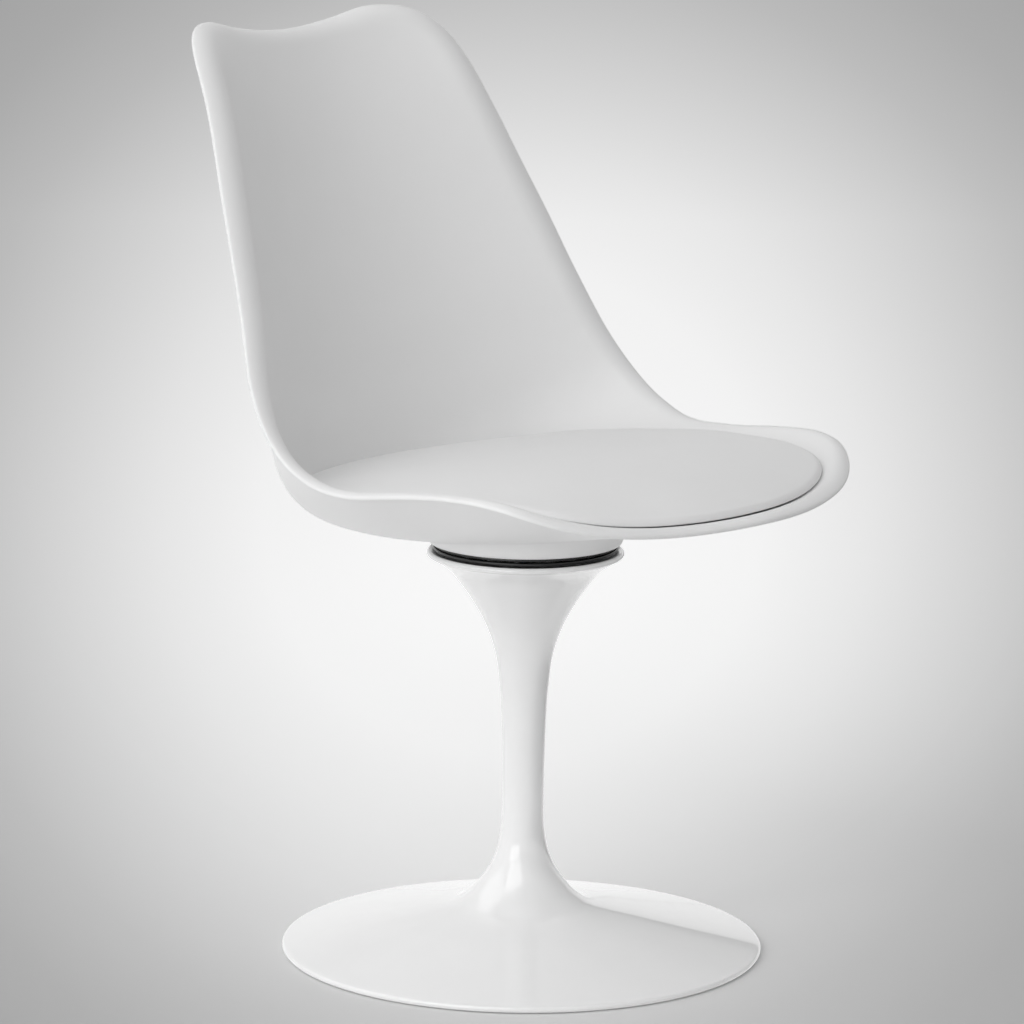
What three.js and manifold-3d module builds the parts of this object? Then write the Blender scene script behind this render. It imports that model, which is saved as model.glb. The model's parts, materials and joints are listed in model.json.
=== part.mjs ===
// Swivel dining chair: a moulded plastic shell with an inset cushion, turning on a white trumpet pedestal.
// Millimetres, +Z up. The sitter faces -Y, the chair is symmetric about X = 0 and the floor is Z = 0. The origin
// is under the middle of the chair's depth. Each piece is drawn about the swivel axis, and the whole chair is
// then moved forward to that origin.
import * as THREE from 'three'
import { mergeVertices } from 'three/addons/utils/BufferGeometryUtils.js'
import Module from 'manifold-3d'

const wasm = await Module()
wasm.setup()

// Driving dimensions
const pedestalHeight = 361        // floor to the top of the flare's bead
const baseDiameter = 425          // widest circle of the trumpet's base
const stemDiameter = 37           // narrowest part of the stem
const flareDiameter = 173.4       // widest circle of the flare's bead
const pedestalWall = 5
const shellHeight = 443           // skirt's foot to the top of the back's two corners
const shellDepth = 568            // front lip to the back's top edge
const shellWidth = 502            // across the rolled rim at the hips
const shellWall = 4.5
const skirtDiameter = 169.6       // foot of the round skirt under the shell
const axisLead = 10.8             // swivel axis in front of the middle of the chair's depth
const swivelPlateDiameter = 163
const lowerPlateThickness = 4.3
const upperPlateThickness = 3
const raceDiameter = 128          // circle that the balls run on
const raceGap = 1.2               // between the two swivel plates
const ballDiameter = 5
const pivotDiameter = 12
const screwDiameter = 5
const screwCircleDiameter = 96    // the plates' screws, to the pedestal below and to the shell above
const padCircleDiameter = 200     // the hook-and-loop pads under the cushion
const padDiameter = 40
const crownRise = 14.2            // top of the cushion's crown above its edge's highest point on the pan
const coverThickness = 1.2
const fitClearance = 0.3          // between a piece and the hole or face that it sits in
const cutOverrun = 1              // how far a cutting tool runs past the face that it cuts
const weldDistance = 0.0001       // corners of one surface that are closer than this are one corner

// Counts
const turnSteps = 40
const midTurnSteps = 20
const smallTurnSteps = 10
const ballCount = 16
const screwCount = 4
const padCount = 4
const ribCount = 8

// Heights of the swivel's stack, from the pedestal up to the shell
const plateRecess = 0.5           // lower plate's underside below the top of the flare's bead
const plateSeat = pedestalHeight - plateRecess
const lowerPlateTop = plateSeat + lowerPlateThickness
const upperPlateFoot = lowerPlateTop + raceGap
const shellFoot = upperPlateFoot + upperPlateThickness
const raceMiddle = lowerPlateTop + raceGap / 2

// Finishes
const finishes = {
  gloss_white_paint: { color: 0xf2f2f0, roughness: 0.12, metalness: 0 },
  satin_white_plastic: { color: 0xe9e9e8, roughness: 0.45, metalness: 0 },
  pale_leatherette: { color: 0xe2e2e1, roughness: 0.6, metalness: 0 },
  black_enamel: { color: 0x151515, roughness: 0.3, metalness: 0 },
  zinc_plated_steel: { color: 0xb9bcc0, roughness: 0.35, metalness: 1 },
  bearing_steel: { color: 0xd0d2d5, roughness: 0.15, metalness: 1 },
  brass: { color: 0xb89a5a, roughness: 0.35, metalness: 1 },
  natural_nylon: { color: 0xe6e2d6, roughness: 0.5, metalness: 0 },
  grey_polypropylene: { color: 0x6f7173, roughness: 0.6, metalness: 0 },
  white_nylon_tape: { color: 0xd8d8d6, roughness: 0.9, metalness: 0 },
  cream_foam: { color: 0xe8dfc2, roughness: 0.95, metalness: 0 },
}

const chair = new THREE.Group()

function addPart(name, shape, finish) {
  const geometry = shape.isBufferGeometry ? shape : toGeometry(shape)
  const mesh = new THREE.Mesh(geometry, new THREE.MeshStandardMaterial(finishes[finish]))
  mesh.name = name
  chair.add(mesh)
}

// Solids and their surfaces

function toSolid(geometry) {
  const bare = geometry.clone()
  bare.deleteAttribute('normal')
  bare.deleteAttribute('uv')
  const merged = mergeVertices(bare, weldDistance)
  return new wasm.Manifold(new wasm.Mesh({
    numProp: 3,
    vertProperties: Float32Array.from(merged.attributes.position.array),
    triVerts: Uint32Array.from(merged.index.array),
  }))
}

function toGeometry(solid) {
  const mesh = solid.getMesh()
  const geometry = new THREE.BufferGeometry()
  geometry.setAttribute('position', new THREE.BufferAttribute(Float32Array.from(mesh.vertProperties), 3))
  geometry.setIndex(Array.from(mesh.triVerts))
  return geometry
}

function joined(solids) {
  return solids.reduce((whole, solid) => whole.add(solid))
}

// A profile of [radius, height] pairs turned about the vertical line through a place
function turned(profile, steps = turnSteps, place = { x: 0, y: 0 }) {
  const points = profile.map(([radius, height]) => new THREE.Vector2(radius, height))
  const geometry = new THREE.LatheGeometry(points, steps)
  geometry.rotateX(Math.PI / 2)
  geometry.translate(place.x, place.y, 0)
  return toSolid(geometry)
}

function post(radius, low, high, steps, place) {
  return turned([[0, low], [radius, low], [radius, high], [0, high]], steps, place)
}

function ring(innerRadius, outerRadius, low, high, steps, place) {
  const profile = [[innerRadius, low], [outerRadius, low], [outerRadius, high], [innerRadius, high]]
  return turned([...profile, profile[0]], steps, place)
}

// An arc of a profile: [radius, height] pairs about a centre, between two angles in degrees
function arc(centreRadius, centreHeight, size, fromAngle, toAngle, steps) {
  const points = []
  for (let i = 0; i <= steps; i++) {
    const angle = THREE.MathUtils.degToRad(fromAngle + (toAngle - fromAngle) * i / steps)
    points.push([centreRadius + size * Math.cos(angle), centreHeight + size * Math.sin(angle)])
  }
  return points
}

// Evenly spaced places on a circle about the swivel axis; the first lies half a step off the X axis
function placesOnCircle(count, diameter) {
  const places = []
  for (let i = 0; i < count; i++) {
    const angle = 2 * Math.PI * (i + 0.5) / count
    places.push({ x: diameter / 2 * Math.cos(angle), y: diameter / 2 * Math.sin(angle), angle })
  }
  return places
}

// Pedestal: a hollow trumpet casting, open below, with a web across its mouth

const baseRadius = baseDiameter / 2
const stemRadius = stemDiameter / 2
const flareRadius = flareDiameter / 2
const flareBeadRadius = 2.6
const baseBeadRadius = 3.5
const standHeight = 1             // casting's foot above the floor
const webThickness = 6
const webBoreRadius = 16
const castingBossRadius = 6.5
const castingBossDepth = 13
const pedestalRibThickness = 4
const pedestalRibFoot = 4
const footWidth = 16
const grooveWidth = 7
const grooveDepth = 2
const grooveInset = 8.5           // base's widest circle to the groove
const grooveRadius = baseRadius - grooveInset
const plateScrewLength = 12
const screwRadius = screwDiameter / 2

// The trumpet's outline, base to stem and stem to flare. Heights are shares of the pedestal's height, and each
// radius is a share of the way from the stem's to the base's or to the flare's.
const baseHeightShares = [0.0197, 0.048, 0.0758, 0.1064, 0.1343, 0.1651, 0.2005, 0.236, 0.274, 0.3173, 0.366]
const baseReachShares = [0.972, 0.729, 0.4975, 0.258, 0.165, 0.109, 0.0605, 0.0295, 0.0115, 0.0025, 0]
const flareHeightShares = [0.43, 0.5, 0.57, 0.626, 0.671, 0.7216, 0.7717, 0.8222, 0.8726, 0.915, 0.9535]
const flareReachShares = [0.002, 0.008, 0.018, 0.031, 0.051, 0.081, 0.143, 0.2478, 0.396, 0.55, 0.72]
const flareNeck = new THREE.Vector2(flareRadius - flareBeadRadius, pedestalHeight - 2 * flareBeadRadius)

const trumpetOutline = new THREE.SplineCurve([
  ...baseReachShares.map((share, i) => new THREE.Vector2(
    stemRadius + (baseRadius - stemRadius) * share, pedestalHeight * baseHeightShares[i])),
  ...flareReachShares.map((share, i) => new THREE.Vector2(
    stemRadius + (flareRadius - stemRadius) * share, pedestalHeight * flareHeightShares[i])),
  flareNeck,
])

// Points of the outline, moved into the metal by an inset
function trumpetPoints(inset) {
  const last = trumpetOutline.points.length - 1
  return trumpetOutline.points.map((point, i) => {
    const along = trumpetOutline.getTangent(i / last)
    return [point.x - along.y * inset, point.y + along.x * inset]
  })
}

// Every other one of those points, for the faces inside that nobody sees
function coarseTrumpetPoints(inset) {
  return trumpetPoints(inset).filter((point, i) => i % 2 === 1)
}

function trumpetBody() {
  const seatRise = (plateSeat - pedestalHeight + flareBeadRadius) / flareBeadRadius
  const seatAngle = 180 - THREE.MathUtils.radToDeg(Math.asin(seatRise))
  const flareBead = arc(
    flareRadius - flareBeadRadius, pedestalHeight - flareBeadRadius, flareBeadRadius, -70, seatAngle, 4)
  const baseBead = arc(
    baseRadius - baseBeadRadius, standHeight + baseBeadRadius, baseBeadRadius, -90, 125, 4)
  return turned([[0, standHeight], ...baseBead, ...trumpetPoints(0), ...flareBead, [0, plateSeat]])
}

function trumpetCavity() {
  const webFoot = plateSeat - webThickness
  const wall = coarseTrumpetPoints(pedestalWall).filter(([, height]) => height < webFoot)
  const [rimRadius, rimHeight] = wall[0]
  const footRadius = baseRadius - baseBeadRadius - footWidth
  const reach = (rimRadius - footRadius) / (rimRadius - wall[1][0])
  const start = [footRadius, rimHeight + (wall[1][1] - rimHeight) * reach]
  const [topRadius, topHeight] = wall.at(-1)
  const slope = (topRadius - wall.at(-2)[0]) / (topHeight - wall.at(-2)[1])
  const mouth = topRadius + (webFoot - topHeight) * slope
  return turned([
    [0, standHeight - cutOverrun], [footRadius, standHeight - cutOverrun], start,
    ...wall.slice(1), [mouth, webFoot], [0, webFoot],
  ])
}

// The trumpet's inside down to half its wall, which the ribs are cut to
function ribSpace() {
  const wall = coarseTrumpetPoints(pedestalWall / 2)
  return turned([[stemRadius, pedestalRibFoot], [wall[0][0] - footWidth / 2, pedestalRibFoot],
    ...wall.slice(1, 4), [stemRadius, wall[3][1]], [stemRadius, pedestalRibFoot]])
}

function pedestalRibs() {
  const ribs = placesOnCircle(ribCount, baseRadius).map(({ x, y, angle }) => {
    const rib = new THREE.BoxGeometry(baseRadius, pedestalRibThickness, pedestalHeight)
    rib.rotateZ(angle)
    rib.translate(x, y, pedestalHeight / 2)
    return toSolid(rib)
  })
  return joined(ribs).intersect(ribSpace())
}

const plateScrewPlaces = placesOnCircle(screwCount, screwCircleDiameter)

function pedestalSolid() {
  const bosses = plateScrewPlaces.map((place) => post(
    castingBossRadius, plateSeat - castingBossDepth, plateSeat - webThickness / 2, smallTurnSteps, place))
  const holes = plateScrewPlaces.map((place) => post(
    screwRadius + fitClearance, plateSeat - plateScrewLength, plateSeat + cutOverrun, smallTurnSteps, place))
  const bore = post(webBoreRadius, plateSeat - webThickness - cutOverrun, plateSeat + cutOverrun, midTurnSteps)
  const groove = ring(
    grooveRadius - grooveWidth, grooveRadius, standHeight - cutOverrun, standHeight + grooveDepth)
  return trumpetBody().subtract(trumpetCavity()).add(pedestalRibs()).add(joined(bosses))
    .subtract(joined(holes)).subtract(bore).subtract(groove)
}

// Floor ring: a plastic glide ring pressed into the casting's groove
function floorRing() {
  return ring(
    grooveRadius - grooveWidth + fitClearance, grooveRadius - fitClearance, 0, standHeight + grooveDepth)
}

// Swivel plates: two pressed discs, each with a raceway groove and countersunk holes, open to the gap between

const plateRadius = swivelPlateDiameter / 2
const plateEdgeRadius = 1
const raceRadius = raceDiameter / 2
const raceClearance = 0.4
const grooveArcRadius = ballDiameter / 2 + raceClearance
const screwHeadRadius = 4.8
const screwHeadDepth = 2.3
const shellScrewLength = 9

// Half the groove's opening where it meets the plate's face
const grooveHalfAngle = THREE.MathUtils.radToDeg(Math.asin(raceGap / 2 / grooveArcRadius))

function lowerPlate() {
  const race = arc(raceRadius, raceMiddle, grooveArcRadius, -grooveHalfAngle, grooveHalfAngle - 180, 3)
  const corner = arc(
    plateRadius - plateEdgeRadius, lowerPlateTop - plateEdgeRadius, plateEdgeRadius, 0, 90, 1)
  const bore = pivotRadius + fitClearance
  const disc = turned([[bore, plateSeat], [plateRadius, plateSeat], ...corner, ...race,
    [bore, lowerPlateTop], [bore, plateSeat]])
  const holes = plateScrewPlaces.map((place) => turned(
    screwHole(lowerPlateTop, -1, plateScrewLength), smallTurnSteps, place))
  return disc.subtract(joined(holes))
}

function upperPlate() {
  const race = arc(raceRadius, raceMiddle, grooveArcRadius, 180 - grooveHalfAngle, grooveHalfAngle, 3)
  const corner = arc(
    plateRadius - plateEdgeRadius, upperPlateFoot + plateEdgeRadius, plateEdgeRadius, -90, 0, 1)
  const bore = bushRadius + fitClearance
  const disc = turned([[bore, upperPlateFoot], ...race, ...corner, [plateRadius, shellFoot],
    [bore, shellFoot], [bore, upperPlateFoot]])
  const holes = plateScrewPlaces.map((place) => turned(
    screwHole(upperPlateFoot, 1, shellScrewLength), smallTurnSteps, place))
  return disc.subtract(joined(holes))
}

// A countersunk screw's outline from its flat face, pointing up (1) or down (-1)
function screwOutline(face, direction, length) {
  const tip = face + direction * length
  const outline = [
    [0, face], [screwHeadRadius, face], [screwRadius, face + direction * screwHeadDepth], [screwRadius, tip],
    [0, tip]]
  return direction > 0 ? outline : outline.reverse()
}

// The hole that it goes in, wider by the clearance, which runs past the face and the tip
function screwHole(face, direction, length) {
  const mouth = face - direction * cutOverrun
  const end = face + direction * (length + cutOverrun)
  const headRadius = screwHeadRadius + fitClearance
  const shankRadius = screwRadius + fitClearance
  const outline = [
    [0, mouth], [headRadius, mouth], [headRadius, face], [shankRadius, face + direction * screwHeadDepth],
    [shankRadius, end], [0, end]]
  return direction > 0 ? outline : outline.reverse()
}

// Pivot: a headed pin up through both plates, with a flanged bush, a thrust washer and a lock nut

const pivotRadius = pivotDiameter / 2
const pivotHeadRadius = 12
const pivotHeadThickness = 3
const bushWall = 1.7
const bushRadius = pivotRadius + fitClearance + bushWall
const bushFlangeRadius = 11
const bushFlangeThickness = 1
const washerRadius = 14
const washerThickness = 1.5
const nutAcrossCorners = 21
const nutThickness = 6.2
const pivotPastNut = 1.5
const washerFoot = shellFoot + bushFlangeThickness + fitClearance
const nutFoot = washerFoot + washerThickness
const pivotTop = nutFoot + nutThickness + pivotPastNut

function pivotPin() {
  return turned([
    [0, plateSeat - pivotHeadThickness], [pivotHeadRadius, plateSeat - pivotHeadThickness],
    [pivotHeadRadius, plateSeat], [pivotRadius, plateSeat], [pivotRadius, pivotTop], [0, pivotTop],
  ], midTurnSteps)
}

function pivotBush() {
  const bore = pivotRadius + fitClearance
  const flangeTop = shellFoot + bushFlangeThickness
  return turned([
    [bore, upperPlateFoot], [bushRadius, upperPlateFoot], [bushRadius, shellFoot],
    [bushFlangeRadius, shellFoot], [bushFlangeRadius, flangeTop], [bore, flangeTop], [bore, upperPlateFoot],
  ], midTurnSteps)
}

function pivotWasher() {
  return ring(pivotRadius + fitClearance, washerRadius, washerFoot, nutFoot, midTurnSteps)
}

function pivotNut() {
  const hexagon = post(nutAcrossCorners / 2, nutFoot, nutFoot + nutThickness, 6)
  const bore = post(
    pivotRadius + fitClearance, nutFoot - cutOverrun, pivotTop, midTurnSteps)
  return hexagon.subtract(bore)
}

// Ball race: a thin moulded cage between the plates, and its balls

const cageThickness = 0.6
const cageWidth = 8

function ballCage(places) {
  const band = ring(raceRadius - cageWidth / 2, raceRadius + cageWidth / 2,
    raceMiddle - cageThickness / 2, raceMiddle + cageThickness / 2, 2 * ballCount)
  const pockets = places.map((place) => post(
    ballDiameter / 2 + fitClearance, raceMiddle - cageThickness, raceMiddle + cageThickness, 8, place))
  return band.subtract(joined(pockets))
}

function raceBall({ x, y }) {
  const ball = new THREE.SphereGeometry(ballDiameter / 2, 8, 5)
  ball.rotateX(Math.PI / 2)
  ball.translate(x, y, raceMiddle)
  return toSolid(ball)
}

// Shell surface: a centre line from the front lip to the back's top edge, and a side guide beside it. Each
// station's section rises from the centre line to the guide.

const halfDepth = shellDepth / 2
const halfWidth = shellWidth / 2
const centreDepthShares = [
  -0.936, -0.76, -0.507, -0.175, 0.174, 0.49, 0.666, 0.713, 0.754, 0.82, 0.9, 0.985]
const centreHeightShares = [
  0.139, 0.106, 0.075, 0.038, 0.021, 0.033, 0.098, 0.225, 0.402, 0.602, 0.791, 0.961]
const guideDepthShares = [
  -0.813, -0.713, -0.527, -0.236, 0.008, 0.172, 0.294, 0.386, 0.487, 0.609, 0.744, 0.905]
const guideHeightShares = [
  0.174, 0.188, 0.195, 0.187, 0.167, 0.19, 0.246, 0.33, 0.476, 0.658, 0.865, 1.047]
const guideWidthShares = [
  0.838, 0.862, 0.869, 0.854, 0.9, 0.915, 0.894, 0.842, 0.756, 0.677, 0.612, 0.575]
const sectionPowers = [1.97, 2.38, 2.72, 3, 3.3, 3.05, 2.5, 2.13, 2, 1.95, 2, 2.1]

function splineThrough(acrossShares, upShares) {
  return new THREE.SplineCurve(acrossShares.map((share, i) => new THREE.Vector2(
    share * halfDepth, upShares[i] * shellHeight)))
}
const centreLine = splineThrough(centreDepthShares, centreHeightShares)
const sideGuide = splineThrough(guideDepthShares, guideHeightShares)
const widthAndPower = new THREE.SplineCurve(
  guideWidthShares.map((share, i) => new THREE.Vector2(share * halfWidth, sectionPowers[i])))

// The point of the shell's inner face at a distance from the centre plane and a station between 0 and 1
function surfacePoint(across, station) {
  const centre = centreLine.getPoint(station)
  const guide = sideGuide.getPoint(station)
  const { x: width, y: power } = widthAndPower.getPoint(station)
  const rise = Math.pow(Math.abs(across) / width, power)
  return new THREE.Vector3(
    across, centre.x + (guide.x - centre.x) * rise, shellFoot + centre.y + (guide.y - centre.y) * rise)
}

const probeShare = 1e-4
function surfaceFrame(across, station) {
  const stepAcross = halfWidth * probeShare
  const alongX = surfacePoint(across + stepAcross, station).sub(surfacePoint(across - stepAcross, station))
  const alongU = surfacePoint(across, station + probeShare).sub(surfacePoint(across, station - probeShare))
  return { point: surfacePoint(across, station), normal: alongX.cross(alongU).normalize() }
}

function raisedPoint(across, station, lift) {
  const { point, normal } = surfaceFrame(across, station)
  return point.addScaledVector(normal, lift)
}

// A point above a place in the seat, found by halving the stations between the front and the back's foot
const backFootShare = 0.6
const halvings = 30
function pointAbove({ x, y }, lift) {
  let low = 0
  let high = backFootShare
  for (let i = 0; i < halvings; i++) {
    const middle = (low + high) / 2
    if (surfacePoint(x, middle).y < y) low = middle
    else high = middle
  }
  return raisedPoint(x, low, lift)
}

// A closed line on that surface, front centre round to front centre, from its right half. A point holds a
// distance from the centre plane and a station.
function surfaceLoop(acrossShares, stationShares, steps) {
  const right = acrossShares.map((share, i) => new THREE.Vector3(share, stationShares[i], 0))
  const left = right.slice(1, -1).reverse().map((point) => new THREE.Vector3(-point.x, point.y, 0))
  const curve = new THREE.CatmullRomCurve3([...right, ...left], true, 'catmullrom', 0.5)
  const loop = []
  for (let i = 0; i < steps; i++) {
    const { x: share, y: station } = curve.getPoint(i / steps)
    loop.push({ across: share * widthAndPower.getPoint(station).x, station })
  }
  return loop
}

// A closed surface over columns of points that run from its top pole to its bottom pole
function skin(columns) {
  const positions = []
  columns.forEach((column, i) => {
    const next = columns[(i + 1) % columns.length]
    for (let k = 0; k + 1 < column.length; k++) {
      const corners = [column[k], column[k + 1], next[k + 1], next[k]]
      for (const order of [[0, 1, 2], [0, 2, 3]]) {
        const [a, b, c] = order.map((corner) => corners[corner])
        if (!a.equals(b) && !b.equals(c) && !c.equals(a)) positions.push(...a, ...b, ...c)
      }
    }
  })
  const geometry = new THREE.BufferGeometry()
  geometry.setAttribute('position', new THREE.BufferAttribute(Float32Array.from(positions), 3))
  return toSolid(geometry)
}

// Shell: the rim's line, and the roll that turns the edge over outwards, wider at the top corners

const rimAcrossShares = [
  0, 0.224, 0.441, 0.667, 0.829, 0.943, 0.986, 0.986, 0.98, 0.997, 1,
  1, 1, 1, 1, 1, 0.974, 0.914, 0.704, 0.423, 0.2, 0]
const rimStationShares = [
  0.032, 0.043, 0.059, 0.08, 0.107, 0.144, 0.184, 0.23, 0.277, 0.341, 0.415,
  0.49, 0.564, 0.636, 0.709, 0.787, 0.872, 0.943, 0.972, 0.977, 0.979, 0.98]
const rollRadii = [22, 13.5, 15.5, 28, 18]
const rollTurns = [45, 65, 74, 65, 60]
const loopSteps = 78
const frontPoleShare = 0.17
const topPoleShare = 0.9
const innerShares = [0.2, 0.4, 0.57, 0.71, 0.82, 0.91, 1]
const outerShares = [0.4, 0.68, 0.86, 1]
const innerRollSteps = 4
const outerRollSteps = 2
const beadSteps = 3

function smoothTable(values, share) {
  return new THREE.SplineCurve(values.map((value) => new THREE.Vector2(value, 0))).getPoint(share).x
}

function rimSections() {
  const loop = surfaceLoop(rimAcrossShares, rimStationShares, loopSteps)
  return loop.map((edge, i) => {
    const before = loop[(i + loopSteps - 1) % loopSteps]
    const after = loop[(i + 1) % loopSteps]
    const { point, normal } = surfaceFrame(edge.across, edge.station)
    const along = surfacePoint(after.across, after.station).sub(surfacePoint(before.across, before.station))
    const share = 2 * Math.min(i, loopSteps - i) / loopSteps
    return {
      edge, point, normal,
      outward: along.cross(normal).normalize(),
      pole: THREE.MathUtils.clamp(edge.station, frontPoleShare, topPoleShare),
      rollRadius: smoothTable(rollRadii, share),
      rollTurn: THREE.MathUtils.degToRad(smoothTable(rollTurns, share)),
    }
  })
}

// Points of one section from the pole to the rolled edge, on the face at a depth below the inner one
function sectionFace({ edge, point, normal, outward, pole, rollRadius, rollTurn }, depth, shares, rollSteps) {
  const face = shares.map((share) => raisedPoint(
    edge.across * share, pole + (edge.station - pole) * share, -depth))
  for (let k = 1; k <= rollSteps; k++) {
    const angle = rollTurn * k / rollSteps
    face.push(point.clone()
      .addScaledVector(outward, (rollRadius - depth) * Math.sin(angle))
      .addScaledVector(normal, (rollRadius - depth) * Math.cos(angle) - rollRadius))
  }
  return face
}

// The half-round bead that ends the rolled edge
function edgeBead({ point, normal, outward, rollRadius, rollTurn }) {
  const bead = []
  for (let k = 1; k < beadSteps; k++) {
    const angle = Math.PI * k / beadSteps
    const reach = rollRadius - shellWall / 2 * (1 - Math.cos(angle))
    const past = shellWall / 2 * Math.sin(angle)
    bead.push(point.clone()
      .addScaledVector(outward, reach * Math.sin(rollTurn) + past * Math.cos(rollTurn))
      .addScaledVector(normal, reach * Math.cos(rollTurn) - past * Math.sin(rollTurn) - rollRadius))
  }
  return bead
}

function bareShell() {
  return skin(rimSections().map((section) => [
    raisedPoint(0, section.pole, 0),
    ...sectionFace(section, 0, innerShares, innerRollSteps),
    ...edgeBead(section),
    ...sectionFace(section, shellWall, outerShares, outerRollSteps).reverse(),
    raisedPoint(0, section.pole, -shellWall),
  ]))
}

// A layer with the facets of the shell's inner face, between two lifts above it. The rise lifts the layer's top
// straight up.
function shellLayer(low, high, rise = 0) {
  return skin(rimSections().map((section) => {
    const head = [raisedPoint(0, section.pole, high), ...sectionFace(section, -high, innerShares, 0)]
    const foot = [raisedPoint(0, section.pole, low), ...sectionFace(section, -low, innerShares, 0)]
    head.forEach((point) => point.setZ(point.z + rise))
    return [...head, ...foot.reverse()]
  }))
}

// The shell's wall with its inner face raised by the clearance, which the cushion and its pads are cut to
const shellSpace = shellLayer(-shellWall, fitClearance)

// Cushion outline: where the cushion's edge meets the seat pan
const cushionAcrossShares = [
  0, 0.25, 0.47, 0.68, 0.82, 0.9, 0.935, 0.955, 0.955, 0.92, 0.855, 0.77, 0.66, 0.48, 0.25, 0]
const cushionStationShares = [
  0.045, 0.048, 0.063, 0.09, 0.128, 0.185, 0.24, 0.3, 0.355, 0.408, 0.452, 0.482, 0.502, 0.525, 0.54, 0.545]
const cushionPoleShare = 0.3
const cushionSteps = 36
const cushionEdges = surfaceLoop(cushionAcrossShares, cushionStationShares, cushionSteps)

function cushionPoint({ across, station }, share, lift) {
  return raisedPoint(across * share, cushionPoleShare + (station - cushionPoleShare) * share, lift)
}

const edgeTop = Math.max(...cushionEdges.map((edge) => cushionPoint(edge, 1, 0).z))

// A layer that follows the seat pan between two lifts above it, out to a share of the cushion's outline
const layerShares = [0.5, 0.8, 1]
function panLayer(limitShare, low, high) {
  return skin(cushionEdges.map((edge) => {
    const foot = [0, ...layerShares].map((share) => cushionPoint(edge, share * limitShare, low))
    const head = [0, ...layerShares].map((share) => cushionPoint(edge, share * limitShare, high))
    return [...head, ...foot.reverse()]
  }))
}

// Underside of the shell: the round skirt, the hub round the pivot, ribs between them, and the screws' bosses

const skirtWall = 6.8
const skirtFlareRadius = 14
const skirtLean = THREE.MathUtils.degToRad(20)
const skirtCollarReach = 6
const skirtCollarHeight = 13
const hubRadius = 22
const hubWall = 5
const shellRibThickness = 3
const shellBossRadius = 8
const insertWall = 1.5
const insertLength = 6.5
const insertRadius = screwRadius + fitClearance + insertWall
const skirtRadius = skirtDiameter / 2

function skirt() {
  const flare = arc(
    skirtRadius + skirtFlareRadius * Math.cos(skirtLean), shellFoot - skirtFlareRadius * Math.sin(skirtLean),
    skirtFlareRadius, 160, 105, 3)
  const [edgeRadius, edgeHeight] = flare.at(-1)
  const top = edgeHeight + skirtCollarHeight
  const inner = skirtRadius - skirtWall
  return turned([
    [inner, shellFoot], ...flare, [edgeRadius + skirtCollarReach, top], [inner, top], [inner, shellFoot]])
}

function shellRibs() {
  const length = skirtRadius - skirtWall - hubRadius
  const ribs = placesOnCircle(ribCount, 2 * hubRadius + length).map(({ x, y, angle }) => {
    const rib = new THREE.BoxGeometry(length + skirtWall, shellRibThickness, shellHeight)
    rib.rotateZ(angle)
    rib.translate(x, y, shellFoot + shellHeight / 2)
    return toSolid(rib)
  })
  return joined(ribs)
}

function shellUnderside() {
  const top = shellFoot + shellHeight / 2
  const hub = ring(hubRadius, hubRadius + hubWall, shellFoot, top, midTurnSteps)
  const bosses = plateScrewPlaces.map((place) => post(shellBossRadius, shellFoot, top, smallTurnSteps, place))
  const all = joined([skirt(), hub, shellRibs(), ...bosses])
  return all.subtract(shellLayer(-shellWall / 2, -shellWall / 2, shellHeight))
}

function seatShell() {
  const access = post(hubRadius, shellFoot - cutOverrun, shellFoot + shellHeight / 4, midTurnSteps)
  const sockets = plateScrewPlaces.map((place) => post(
    insertRadius + fitClearance, shellFoot - cutOverrun, shellFoot + insertLength + fitClearance,
    smallTurnSteps, place))
  return bareShell().add(shellUnderside()).subtract(joined([access, ...sockets]))
}

function shellInsert(place) {
  return ring(
    screwRadius + fitClearance, insertRadius, shellFoot, shellFoot + insertLength, smallTurnSteps, place)
}

// Cushion: a moulded board that follows the pan, a foam block on it and a cover drawn in under the board's edge

const cushionGap = 2.1
const cushionEdgeRise = 5
const crownDepthShare = -0.3
const crownPower = 2.2
const edgeRollShare = 0.965
const boardShare = 0.93
const hemShare = 0.86
const boardThickness = 4
const boardFoot = cushionGap + coverThickness + 2 * fitClearance
const boardTop = boardFoot + boardThickness
const topShares = [0, 0.35, 0.6, 0.78, 0.9, edgeRollShare, 0.99]
const linedShares = [0, 0.4, 0.7, 0.88, edgeRollShare, 0.99]

// Rings of the cushion's underside, from the board's edge in to the pole
function underShares(limitShare) {
  const within = layerShares.map((share) => share * limitShare).filter((share) => share < boardShare)
  return [boardShare, ...within.reverse(), 0]
}

// The cushion's outer form, moved inwards by an inset: a crown over the pan, with a small roll at its edge. Its
// underside has the rings of the pan layer of the same limit.
function cushionBody(inset, shares, limitShare) {
  const crown = new THREE.Vector3(0, halfDepth * crownDepthShare, edgeTop + crownRise - inset)
  const rise = cushionEdgeRise - 2 * inset
  const edgeShare = 1 - inset / halfWidth
  return skin(cushionEdges.map((place) => {
    const edge = cushionPoint(place, edgeShare, cushionGap + inset)
    const top = shares.map((share) => {
      const roll = Math.max(0, (share - edgeRollShare) / (1 - edgeRollShare))
      const height = edge.z + rise * Math.sqrt(1 - roll * roll)
      const point = crown.clone().lerp(edge, share)
      return point.setZ(height + (crown.z - edge.z - rise) * (1 - Math.pow(share, crownPower)))
    })
    const under = underShares(limitShare).map((share) => cushionPoint(place, share, cushionGap + inset))
    return [...top, edge, ...under]
  }))
}

function cushionBoard() {
  return panLayer(boardShare, boardFoot, boardTop)
}

function cushionFoam() {
  const boardSpace = panLayer(boardShare + 2 * fitClearance / halfWidth, 0, boardTop + fitClearance)
  return cushionBody(coverThickness + fitClearance, linedShares, boardShare).subtract(boardSpace)
}

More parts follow.
